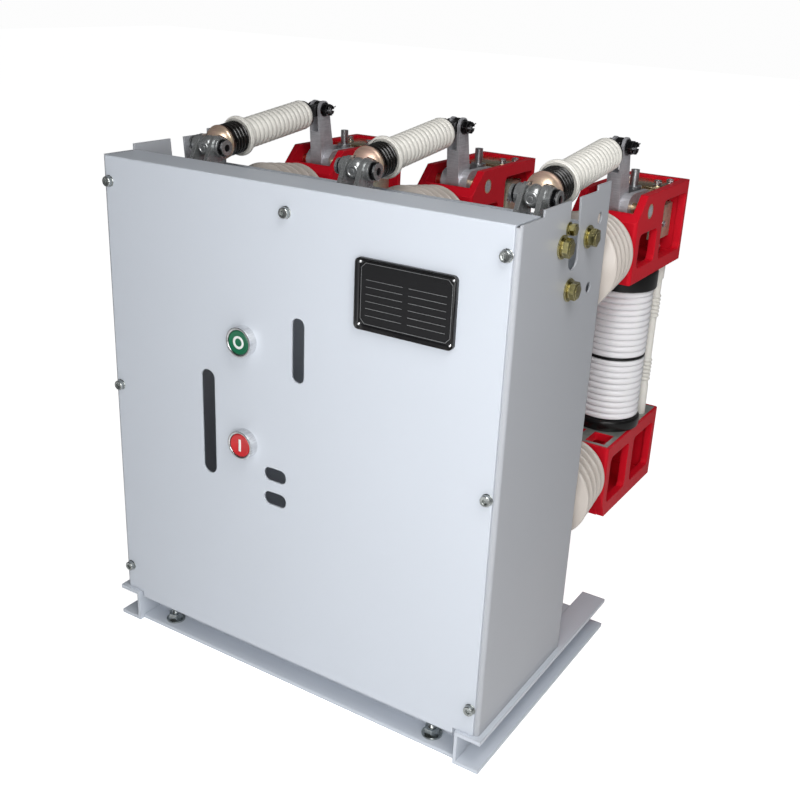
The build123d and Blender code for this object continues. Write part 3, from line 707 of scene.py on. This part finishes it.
def buttons():
    """The buttons' bright bezels, dished caps and white marks: a ring to open, a bar to close."""
    bezel_pieces = []
    for name in ("open", "close"):
        low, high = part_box(f"{name}_button")
        x, z = (low.x + high.x) / 2, (low.z + high.z) / 2
        place = at(x, COVER_LOW.y, z) @ FRONTWARDS
        bezel_outline = [(16.4, 0), (20, 0), (20, 11.4), (19.6, 12.6), (18.6, 13), (17.4, 12.8), (16.6, 12.2),
                         (16.4, 0)]
        bezel = turned("bezel", bezel_outline, sides=72, ring=True)
        bezel_pieces.append(settle(bezel, place))
        cap_outline = [(5.4, -44), (6, -43), (6, -1), (15.8, 0), (15.8, 11.4), (15.2, 12.2), (14.4, 12.4),
                       (13.0, 11.9), (1.0, 11.3)]
        cap = turned(f"{name}_button_cap", cap_outline, sides=64)
        colour = "green" if name == "open" else "red"
        fit(settle(cap, place), f"button_{colour}", f"{name}_button", [f"{name}_button"])
        if name == "open":
            mark_outline = [(5.4, 11.2), (8.6, 11.3), (8.6, 12.0), (8.2, 12.2), (5.8, 12.1), (5.4, 11.8),
                            (5.4, 11.2)]
            mark = settle(turned("open_mark", mark_outline, sides=48, ring=True), place)
        else:
            mark = slab("close_mark", (x - 0.0018, COVER_LOW.y - 0.0122, z - 0.0085),
                        (x + 0.0018, COVER_LOW.y - 0.0112, z + 0.0085), 0.0003)
        fit(mark, "mark_white", f"{name}_button")
    fit(joined("bezels", bezel_pieces), "chrome_ring", "frame", ["button_bezels"])


# Poles


def insulators():
    """Cream post insulators with round-edged sheds that grow towards the housing."""
    foot_y = PANEL_HIGH.y
    length = (UPPER_LOW.y - foot_y) / MM
    sheds = 5
    foot, neck = 14, 14
    pitch = (length - foot - neck) / sheds
    outline = [(47, 0), (48, 0.8), (48, foot - 3), (46.5, foot - 1)]
    for n in range(sheds):
        share = n / (sheds - 1)
        core = 42 - 8 * share
        tip = 65 - 10 * share
        low = foot + n * pitch
        outline += [(core + 1.5, low + 0.06 * pitch), (core, low + 0.16 * pitch)]
        outline += [(tip - 5, low + 0.52 * pitch)]
        outline += arc(tip - 2.6, low + 0.68 * pitch, 2.6, -70, 80, 5)
        outline += [(tip - 7, low + 0.86 * pitch), (core + 4, low + 0.93 * pitch)]
    outline += [(36, length - neck + 2), (34.5, length - neck + 4), (34, length - 0.6), (33.4, length - 0.3)]
    for level in ("upper", "lower"):
        low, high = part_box(f"{level}_insulator_middle")
        post = turned(f"{level}_post", outline, sides=80)
        settle(post, at(0, foot_y, (low.z + high.z) / 2) @ BACKWARDS)
        on_each_pole(post, "epoxy", None, [f"{level}_insulator_{{}}"])


def interrupters():
    """White glazed bodies with close round ribs, a thin black joint below half height and black end rings."""
    low, high = BODY_LOW.z / MM, BODY_HIGH.z / MM
    joint, gap = (low + high) / 2 - 8, 1.7
    outline = [(14, low + 0.2), (42, low + 0.2)]
    for ribs, start, end in ((10, low + 1, joint - gap), (12, joint + gap, high - 1)):
        pitch = (end - start) / ribs
        for n in range(ribs):
            base = start + n * pitch
            outline += [(43.6, base + 0.02 * pitch), (45.2, base + 0.07 * pitch), (46.6, base + 0.16 * pitch)]
            outline += [(46.2 + 1.35 * math.sin(math.radians(a)), base + (0.1 + 0.8 * a / 180) * pitch)
                        for a in (40, 70, 110, 140)]
            outline += [(46.6, base + 0.84 * pitch), (45.2, base + 0.93 * pitch), (43.6, base + 0.98 * pitch)]
        if start < joint:
            outline += [(43.6, joint - gap), (43.6, joint + gap)]
    outline += [(42, high - 0.2), (14, high - 0.2)]
    body = turned("interrupter_body", outline, sides=96)
    settle(body, at(0, POLE_Y, 0), 28)
    on_each_pole(body, "ceramic", None, ["interrupter_{}"])
    band_outline = [(43.2, joint - gap), (46.8, joint - gap + 0.3), (47.2, joint), (46.8, joint + gap - 0.3),
                    (43.2, joint + gap), (43.2, joint - gap)]
    band = turned("interrupter_band", band_outline, sides=96, ring=True)
    on_each_pole(settle(band, at(0, POLE_Y, 0)), "black_ring")
    rings = []
    for start, height, skirt in ((LOWER_HIGH.z / MM, 17, 0), (high, 17, 10.5)):
        low_edge, high_edge = start - skirt, start + height
        inner = 48.0 if skirt else 37
        profile = [(inner, low_edge + 0.3), (48.3, low_edge + 0.3)]
        profile += arc(48.3, low_edge + 2.6, 2.3, -90, 0, 4)
        profile += arc(46.9, high_edge - 4, 3.7, 0, 90, 4) + [(37, high_edge - 0.3)]
        if skirt:
            profile += [(37, start + 0.3), (48.0, start + 0.1)]
        profile += [(inner, low_edge + 0.3)]
        rings.append(settle(turned("end_ring", profile, sides=80, ring=True), at(0, POLE_Y, 0)))
    rings = over_all_poles("end_rings", joined("end_rings", rings))
    fit(rings, "black_ring", "frame", ["interrupter_rings"])


def stay_rods():
    """Cream rods behind the interrupters: tapered collars at both ends and two groups of ribs."""
    low_node, high_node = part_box("stay_rods")
    y = (low_node.y + high_node.y) / 2
    low, high = low_node.z / MM, high_node.z / MM
    length = high - low
    outline = [(7.4, low), (7.8, low + 1), (7.4, low + 0.19 * length)]
    for centre in (low + 0.30 * length, low + 0.72 * length):
        for n in range(6):
            base = centre - 18 + n * 6.1
            outline += [(6.0, base), (7.6, base + 1.2), (8.4, base + 2.6), (8.4, base + 3.6)]
            outline += [(7.2, base + 5.0)]
        outline += [(6.3, centre + 19)]
    outline += [(6.6, high - 27), (8.2, high - 24), (8.5, high - 1), (8.0, high)]
    rod = turned("stay_rod", outline, sides=28)
    collar_radius = 0.0085
    offset = high_node.x - PITCH - collar_radius
    moves = [at(shift + side * offset, y, 0) for shift in POLE_SHIFT.values() for side in (-1, 1)]
    fit(set_out("stay_rods_ribbed", rod, moves), "rod_epoxy", "frame", ["stay_rods"])


def push_rods():
    """Cream ribbed rods with a cup round the spring's end and a steel tongue at the back."""
    ribs, start, end = 15, 67, 210.5
    pitch = (end - start) / ribs
    outline = [(9, 60.5), (24.8, 60.5), (25.2, 58)] + arc(26.8, 57.6, 1.5, 180, 60, 4)
    outline += [(28.3, 59.5), (28.5, 61.5), (28.2, 63), (27, 64.6), (24.2, 65.8), (21.6, 66.6)]
    for n in range(ribs):
        base = start + n * pitch
        for radius, share in ((19.4, 0), (19.6, 0.1), (21.2, 0.22), (21.9, 0.38), (22.1, 0.55), (21.9, 0.72),
                              (21.2, 0.88), (19.6, 0.98)):
            outline.append((radius, base + share * pitch))
    outline += [(19.4, end), (9, end)]
    rod = settle(turned("push_rod_ribbed", outline, sides=80), ROD_FRAME)
    on_each_pole(rod, "rod_epoxy", "push_rod_{}", ["push_rod_{}"])
    plate_outline = [(8, 210.6), (19.2, 210.6), (19.9, 211.3), (19.9, 215.2), (19.2, 216), (9, 216)]
    plate = turned("end_plate", plate_outline, sides=64)
    collar_outline = [(8.6, 215.8), (12.2, 215.8), (12.4, 216.6), (12.4, 219.5), (11.6, 220.4), (9.2, 220.6),
                      (9.0, 223.6), (7.6, 225)]
    collar = turned("collar", collar_outline, sides=40)
    settle(plate, ROD_FRAME)
    settle(collar, ROD_FRAME)
    blade = slab("blade", (-0.0045, -0.009, 0.2165), (0.0045, 0.009, ROD_SPAN * MM), 0.0006)
    settle(blade, ROD_FRAME)
    eye = turned("eye", [(11.2, -4.5), (12, -3.7), (12, 3.7), (11.2, 4.5)], sides=48)
    settle(eye, ROD_FRAME @ at(0, 0, ROD_SPAN * MM) @ RIGHTWARDS)
    tongue = joined("push_rod_tongue", [plate, collar, blade, eye])
    on_each_pole(tongue, "dark_steel", "push_rod_{}")


def contact_springs():
    """Black coil springs between the cap and the rod's cup."""
    wire, mean, low, high, turns = 2.0, 21.0, 27.6, 59.8, 4.3
    bpy.ops.object.select_all(action="DESELECT")
    start = (mean * MM, 0, (low + wire) * MM)
    bpy.ops.mesh.primitive_circle_add(vertices=12, radius=wire * MM, fill_type="NGON", location=start,
                                      rotation=(math.radians(90), 0, 0))
    coil = bpy.context.object
    coil.name = "contact_coil"
    bpy.ops.object.transform_apply(location=True, rotation=True, scale=True)
    screw = coil.modifiers.new("wind", "SCREW")
    screw.axis = "Z"
    screw.iterations = 1
    screw.angle = math.radians(360 * turns)
    screw.steps = screw.render_steps = int(48 * turns)
    screw.screw_offset = (high - low - 2 * wire) * MM
    bpy.ops.object.modifier_apply(modifier="wind")
    settle(coil, ROD_FRAME, 60)
    on_each_pole(coil, "black_steel", "push_rod_{}", ["contact_spring_{}"])
    sleeve = turned("spring_guide", [(15, 24), (17.2, 25), (17.2, 60), (15, 60.4)], sides=48)
    on_each_pole(settle(sleeve, ROD_FRAME), "dark_steel", "push_rod_{}")


def cut_away(piece, cutter):
    """Takes the cutter's room out of a piece."""
    only(piece)
    cut = piece.modifiers.new("cut", "BOOLEAN")
    cut.operation = "DIFFERENCE"
    cut.solver = "EXACT"
    cut.object = cutter
    bpy.ops.object.modifier_apply(modifier="cut")
    bpy.data.objects.remove(cutter)
    return settle(piece)


def arms_room(side):
    """The room of one arm, a little wider than the arm: its round eye and the bar below it."""
    inner, outer, reach = 0.0085, 0.026, 0.0165
    eye = turned("eye_room", [(reach / MM, inner / MM), (reach / MM, outer / MM)], sides=48)
    settle(eye, at(*ARM_PIN) @ SIDEWAYS[side])
    x0, x1 = sorted((side * inner, side * outer))
    bar = slab("bar_room", (x0, -reach - 0.004, -0.07), (x1, reach, 0))
    settle(bar, at(*ARM_PIN) @ Matrix.Rotation(-ARM_LEAN, 4, "X"))
    return eye, bar


def spring_caps():
    """The yellow dome on the spring's front end, the dark ring behind it and the eye on the arm pin."""
    dome_outline = [(0.6, 0.6)] + arc(0, 24, 23.4, -86, -14, 22)
    dome_outline += [(23.5, 19.6), (23.9, 20.4), (24.1, 21.6), (23.9, 22.8), (23.4, 23.4), (19, 23.5)]
    dome = turned("dome_cap", dome_outline, sides=96)
    settle(dome, ROD_FRAME)
    for side in (-1, 1):
        for cutter in arms_room(side):
            dome = cut_away(dome, cutter)
    on_each_pole(dome, "dome_zinc", "push_rod_{}", ["spring_cap_{}"])
    seat_outline = [(15, 23.4), (22.9, 23.4), (23.4, 24), (23.4, 26.4), (22.8, 27.2), (15, 27.3)]
    ring = turned("spring_seat", seat_outline, sides=80)
    on_each_pole(settle(ring, ROD_FRAME), "seat_brown", "push_rod_{}")
    barrel_outline = [(7.6, -9), (11.4, -8.6)] + arc(4, 0, 10.4, -52, 52, 10) + [(11.4, 8.6), (7.6, 9)]
    barrel = turned("barrel", barrel_outline, sides=56)
    settle(barrel, at(*ARM_PIN) @ RIGHTWARDS)
    boss_outline = [(6, 8), (8.4, 11.4), (8.8, 12.4), (8.8, 14.2), (8.0, 15.2), (6.0, 15.4), (5.4, 14.6),
                    (3.4, 14.4), (3.0, 15.4), (0.6, 15.7)]
    boss = turned("boss", boss_outline, sides=40)
    settle(boss, at(*ARM_PIN) @ Matrix.Rotation(math.radians(96), 4, "X"))
    on_each_pole(joined("rod_eye", [barrel, boss]), "arm_zinc", "push_rod_{}")


def arm_pins():
    """What shows of each arm pin: a boss, a round head on the left, and a nut on the right."""
    place = at(*ARM_PIN) @ RIGHTWARDS
    turned_about = Matrix.Rotation(math.pi, 4, "X")
    parts = []
    for turn in (turned_about, Matrix.Identity(4)):
        boss = turned("boss", [(12.6, 16), (13.2, 16.6), (13.2, 22), (12.6, 22.6)], sides=48)
        parts.append(settle(boss, place @ turn))
    bosses = joined("arm_pin_bosses", parts)
    on_each_pole(bosses, "arm_zinc", "main_shaft")
    ring_outline = [(9.6, 22.6), (11.4, 23), (11.6, 24), (11.6, 28.4), (10.8, 29.4), (7.6, 29.6), (7.2, 27),
                    (6, 26.8), (5.8, 30.6), (4.6, 31.2)]
    ring = turned("nut_ring", ring_outline, sides=40)
    head = turned("pin_head", [(9.6, 22.6), (11.2, 23.2), (11.2, 26.4), (10.2, 27.4), (5.8, 27.8)], sides=40)
    settle(ring, place)
    settle(head, place @ turned_about)
    on_each_pole(joined("arm_pin_nuts", [ring, head]), "nut_black", "main_shaft")


# Brackets and cranks


def guide_plates():
    """A yellow angle across each upper bracket behind the stem, with its small screws."""
    inner = (UPPER_HIGH.x - UPPER_LOW.x) / 2 - WALL
    y0, y1 = UPPER_LOW.y + 0.127, UPPER_HIGH.y - WALL
    z1 = UPPER_HIGH.z - 0.0045
    plate = slab("rear_guide", (-inner, y0, z1 - 0.004), (inner, y1, z1), 0.0006)
    flange = slab("rear_flange", (-inner, y0, z1 - 0.016), (inner, y0 + 0.004, z1 - 0.0035), 0.0006)
    plates = over_all_poles("guide_plates", joined("guide_plates", [plate, flange]))
    fit(plates, "yellow_zinc", "frame", ["guide_plates"])
    small = hex_bolt("guide_bolt", across=10, head=4, washer_radius=6.5, washer_thickness=1.2)
    moves = []
    for shift in POLE_SHIFT.values():
        for x in (0.020, 0.031):
            moves.append(at(shift + x, y0 + 0.018 if x < 0.03 else y0 + 0.040, z1))
        moves.append(at(shift - 0.026, y0 + 0.030, z1))
    fit(set_out("guide_bolts", small, moves), "bright_zinc")


def crank_pins():
    """Black slotted nuts with split pins on the levers' eye pins, and the cranks' yellow pivot pins."""
    place = at(*CRANK_EYE) @ RIGHTWARDS
    flat = turned("flat", [(10.2, 10.1), (10.8, 10.4), (10.8, 11.8), (10.2, 12.1)], sides=40)
    nut = hexagon("nut", 17, 12.0, 19.0, 0.8)
    crown_outline = [(8.0, 18.6), (8.3, 19.0), (8.3, 23.2), (7.6, 23.8), (5.6, 23.9), (5.3, 22.6),
                     (0.5, 22.4)]
    crown = turned("crown", crown_outline, sides=32)
    head = turned("head", [(9.0, -10.2), (9.8, -10.8), (9.8, -16.0), (8.8, -17.2), (4.0, -17.6)], sides=40)
    teeth = []
    for n in range(3):
        slot = slab("slot", (-0.0013, -0.012, 0.0196), (0.0013, 0.012, 0.0275))
        teeth.append(settle(slot, Matrix.Rotation(math.radians(60 * n), 4, "Z")))
    for cutter in teeth:
        crown = cut_away(crown, cutter)
    for piece in (nut, crown, flat, head):
        settle(piece, place)
    on_each_pole(joined("crank_eye_pin", [nut, crown, flat, head]), "nut_black", "bell_crank_{}")
    bpy.ops.object.select_all(action="DESELECT")
    bpy.ops.curve.primitive_bezier_curve_add(location=(0, 0, 0))
    wire = bpy.context.object
    wire.name = "split_pin"
    bends = (((0, -0.011, 0), (0, -0.013, 0.004), (0, -0.008, -0.002)),
             ((0.001, 0.013, -0.003), (0, 0.006, 0), (0.001, 0.015, -0.006)))
    for point, bend in zip(wire.data.splines[0].bezier_points, bends):
        point.co, point.handle_left, point.handle_right = bend
    wire.data.bevel_depth = 0.0009
    wire.data.bevel_resolution = 2
    wire.data.use_fill_caps = True
    only(wire)
    bpy.ops.object.convert(target="MESH")
    wire = settle(wire, at(0.0215, CRANK_EYE.y, CRANK_EYE.z) @ Matrix.Rotation(math.radians(35), 4, "X"))
    on_each_pole(wire, "bright_zinc", "bell_crank_{}")
    sleeves = []
    for side in (-1, 1):
        sleeve = turned("sleeve", [(8, 22.2), (8.25, 22.3), (8.25, 36.6), (8, 36.9)], sides=40)
        sleeves.append(settle(sleeve, at(*CRANK_PIN) @ SIDEWAYS[side]))
        rim_outline = [(8.15, 46.6), (8.15, 48.1), (9.6, 48.25), (10.2, 48.0), (10.2, 47.6), (8.15, 46.6)]
        rim = turned("rim", rim_outline, sides=40, ring=True)
        sleeves.append(settle(rim, at(*CRANK_PIN) @ SIDEWAYS[side]))
    on_each_pole(joined("crank_pivot_pin", sleeves), "yellow_zinc")


def stem_pins():
    """Dark round nuts on the pins that join the cranks to the stems."""
    outline = [(7.0, 10.2), (7.6, 10.6), (7.6, 14.2), (6.8, 15.2), (4.4, 15.3), (4.0, 16.8), (1.0, 17.0)]
    nuts = []
    for side in (-1, 1):
        nuts.append(settle(turned("nut", outline, sides=32), at(*STEM_PIN) @ SIDEWAYS[side]))
    on_each_pole(joined("stem_pin_nuts", nuts), "nut_black", "bell_crank_{}")


def contact_straps():
    """Leaves of the flexible contact strap, bolted inside the bracket and seen through its rear window."""
    leaf, step, count, first = 0.0024, 0.0027, 6, 0.0135
    front, low, high, edge = 0.338, 0.588, 0.640, 0.0007
    rear = UPPER_HIGH.y - WALL
    leaves = []
    for n in range(count):
        x = first + n * step
        trim = 0.0012 * (n % 2)
        leaves.append(slab("leaf", (x, front + trim, low + trim), (x + leaf, rear, high - trim), edge))
    leaves.append(slab("lug", (0.0215, front + 0.002, 0.567), (0.0245, 0.368, low + 0.004), edge))
    on_each_pole(joined("contact_strap", leaves), "strap_copper")
    bolt = hex_bolt("strap_bolt", across=9, head=3, washer_radius=6, washer_thickness=0.8)
    moves = [at(0.0297, 0.347, 0.613) @ RIGHTWARDS, at(0.0245, 0.352, 0.5765) @ RIGHTWARDS]
    on_each_pole(set_out("strap_bolts", bolt, moves), "bright_zinc")


def machined_tops():
    """The bare machined face on top of each lower bracket, with its painted pockets open, and a web below."""
    top, foot, film, pocket_x, pocket_half = LOWER_HIGH.z, LOWER_LOW.z, 0.0004, 0.022, 0.015
    face = slab("machined_face", (LOWER_LOW.x + 0.004, LOWER_LOW.y + 0.005, top - film / 2),
                (LOWER_HIGH.x - 0.004, LOWER_HIGH.y - 0.005, top + film))
    for x in (-pocket_x, pocket_x):
        pocket = slab("pocket", (x - pocket_half, LOWER_LOW.y + 0.0105, top - 0.01),
                      (x + pocket_half, LOWER_LOW.y + 0.0495, top + 0.01))
        face = cut_away(face, pocket)
    on_each_pole(face, "machined")
    inset = WALL - 0.0005
    web = slab("bracket_web", (LOWER_LOW.x + inset, LOWER_LOW.y + inset, foot + 0.001),
               (LOWER_HIGH.x - inset, LOWER_HIGH.y - inset, foot + 0.009))
    on_each_pole(web, "red_casting")


def stems():
    """The moving stem's threaded top with its lock nuts and copper collar."""
    z0 = STEM_HIGH.z - 0.048
    rod = thread("stem_thread", 6.0, z0 / MM, STEM_HIGH.z / MM, 1.5)
    nut = hexagon("stem_nut", 19, z0 / MM - 3, z0 / MM + 7, 0.9)
    second = hexagon("stem_lock_nut", 19, z0 / MM + 8, z0 / MM + 15, 0.9)
    for piece in (rod, nut, second):
        settle(piece, at(0, POLE_Y, 0))
    on_each_pole(joined("stem_top", [rod, nut, second]), "bright_zinc", "moving_stem_{}")


dress_nodes()
cover_screws()
side_bolts()
floor_bolts()
nameplate()
buttons()
insulators()
interrupters()
stay_rods()
push_rods()
contact_springs()
spring_caps()
arm_pins()
guide_plates()
crank_pins()
stem_pins()
contact_straps()
machined_tops()
stems()
set_camera()
set_studio()
